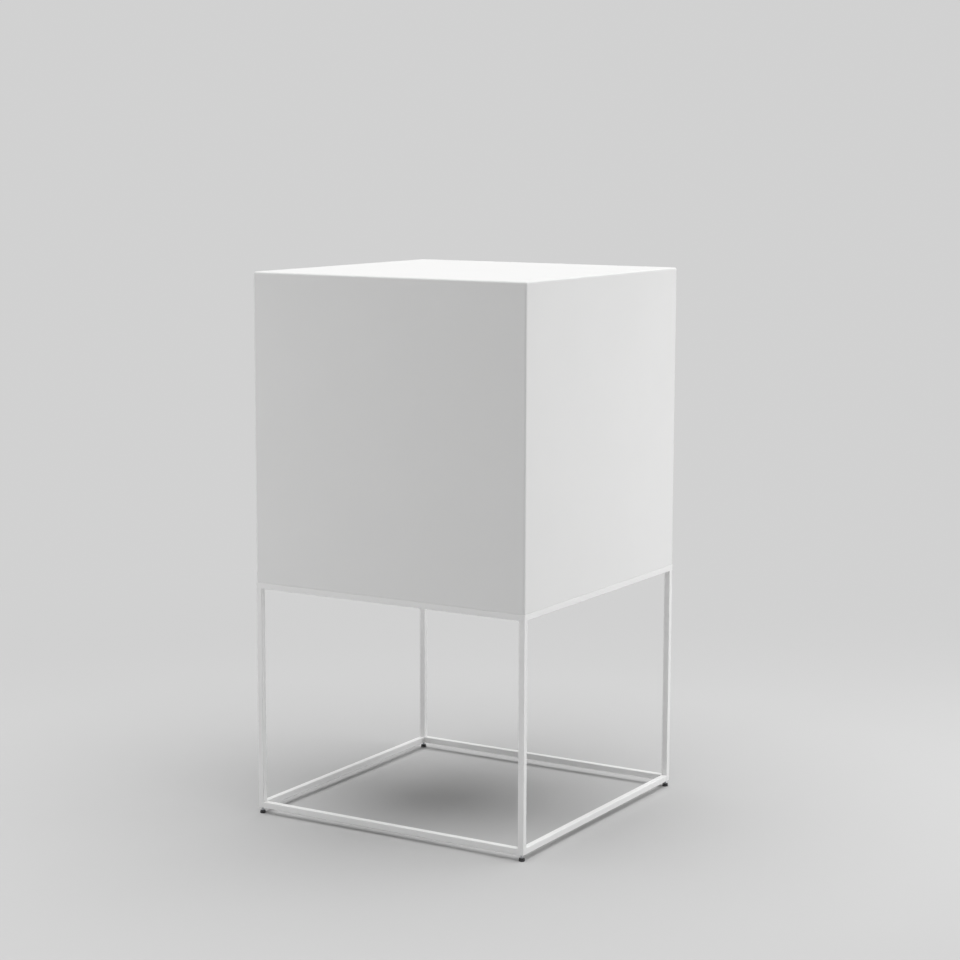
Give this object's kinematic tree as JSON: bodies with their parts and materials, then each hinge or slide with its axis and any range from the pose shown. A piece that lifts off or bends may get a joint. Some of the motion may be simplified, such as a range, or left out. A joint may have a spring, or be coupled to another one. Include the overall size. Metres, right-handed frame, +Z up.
{
  "type": "led cube light",
  "caption": "Cube-shaped outdoor light on an open square-tube stand, with adjustable feet and a twist-in rechargeable light unit under the cube.",
  "frame": {"origin": "centre of the stand's footprint, on the floor under its feet", "axes": "+Z up, -Y the front, +X to the right when the front is looked at"},
  "size_m": [0.6, 0.6, 1.062],
  "materials": {
    "frame_coat": "fine-textured matt white powder coat",
    "shade_white": "translucent satin-white rotomoulded polyethylene",
    "unit_white": "spark-textured white moulding",
    "foot_black": "matt black nylon",
    "zinc_steel": "bright zinc-plated steel",
    "brass": "turned brass",
    "seal_rubber": "soft matt rubber",
    "cover_rubber": "satin moulded rubber",
    "button_grey": "satin grey moulding",
    "socket_black": "glossy black moulding",
    "heat_aluminium": "rolled aluminium sheet",
    "dome_opal": "frosted opal plastic",
    "led_board_white": "white solder mask",
    "led_phosphor": "yellow phosphor face",
    "board_green": "green solder mask",
    "component_dark": "dark moulded components",
    "cell_wrap": "shrink-wrapped plastic sleeve",
    "holder_black": "black moulding",
    "wire_red": "silicone insulation"
  },
  "bodies": {
    "stand": {"base_rail_front": "frame_coat", "top_rail_front": "frame_coat", "base_rail_right": "frame_coat", "top_rail_right": "frame_coat", "base_rail_back": "frame_coat", "top_rail_back": "frame_coat", "base_rail_left": "frame_coat", "top_rail_left": "frame_coat", "leg_front_left": "frame_coat", "leg_front_right": "frame_coat", "leg_back_right": "frame_coat", "leg_back_left": "frame_coat", "corner_plates": "frame_coat", "foot_bushes": "zinc_steel", "shade": "shade_white", "shade_inserts": "brass", "shade_washers": "zinc_steel", "shade_screws": "zinc_steel", "mount_ring": "unit_white", "ring_gasket": "seal_rubber", "ring_screws": "zinc_steel"},
    "light_unit": {"light_tray": "unit_white", "unit_seal": "seal_rubber", "charge_socket": "socket_black", "socket_pin": "zinc_steel", "socket_nut": "zinc_steel", "cover_pin": "zinc_steel", "tact_switch": "socket_black", "control_board": "board_green", "board_components": "component_dark", "board_screws": "zinc_steel", "battery_cells": "cell_wrap", "battery_holder": "holder_black", "battery_strap": "zinc_steel", "strap_screws": "zinc_steel", "battery_leads": "wire_red", "led_leads": "wire_red", "heat_plate": "heat_aluminium", "led_board": "led_board_white", "led_chips": "led_phosphor", "diffuser_dome": "dome_opal", "dome_screws": "zinc_steel"},
    "charge_flap": {"charge_cover": "cover_rubber"},
    "button": {"power_button": "button_grey"},
    "foot_front_left": {"foot_pad_front_left": "foot_black", "foot_stud_front_left": "zinc_steel"},
    "foot_front_right": {"foot_pad_front_right": "foot_black", "foot_stud_front_right": "zinc_steel"},
    "foot_back_right": {"foot_pad_back_right": "foot_black", "foot_stud_back_right": "zinc_steel"},
    "foot_back_left": {"foot_pad_back_left": "foot_black", "foot_stud_back_left": "zinc_steel"}
  },
  "joints": [
    {"name": "unit_twist", "type": "hinge", "parent": "stand", "child": "light_unit", "pos_m": [0, 0, 0.4565], "axis": [0, 0, -1], "range_deg": [0, 60]},
    {"name": "flap_hinge", "type": "hinge", "parent": "light_unit", "child": "charge_flap", "pos_m": [-0.024, -0.049, 0.4491], "axis": [-1, 0, 0], "range_deg": [0, 100]},
    {"name": "button_press", "type": "slide", "parent": "light_unit", "child": "button", "axis": [0, 0, 1], "range_m": [0, 0.0015], "stiffness_N_per_m": 1500, "springref_m": -0.001},
    {"name": "foot_front_left_level", "type": "slide", "parent": "stand", "child": "foot_front_left", "axis": [0, 0, -1], "range_m": [-0.0055, 0.01]},
    {"name": "foot_front_right_level", "type": "slide", "parent": "stand", "child": "foot_front_right", "axis": [0, 0, -1], "range_m": [-0.0055, 0.01]},
    {"name": "foot_back_right_level", "type": "slide", "parent": "stand", "child": "foot_back_right", "axis": [0, 0, -1], "range_m": [-0.0055, 0.01]},
    {"name": "foot_back_left_level", "type": "slide", "parent": "stand", "child": "foot_back_left", "axis": [0, 0, -1], "range_m": [-0.0055, 0.01]}
  ]
}
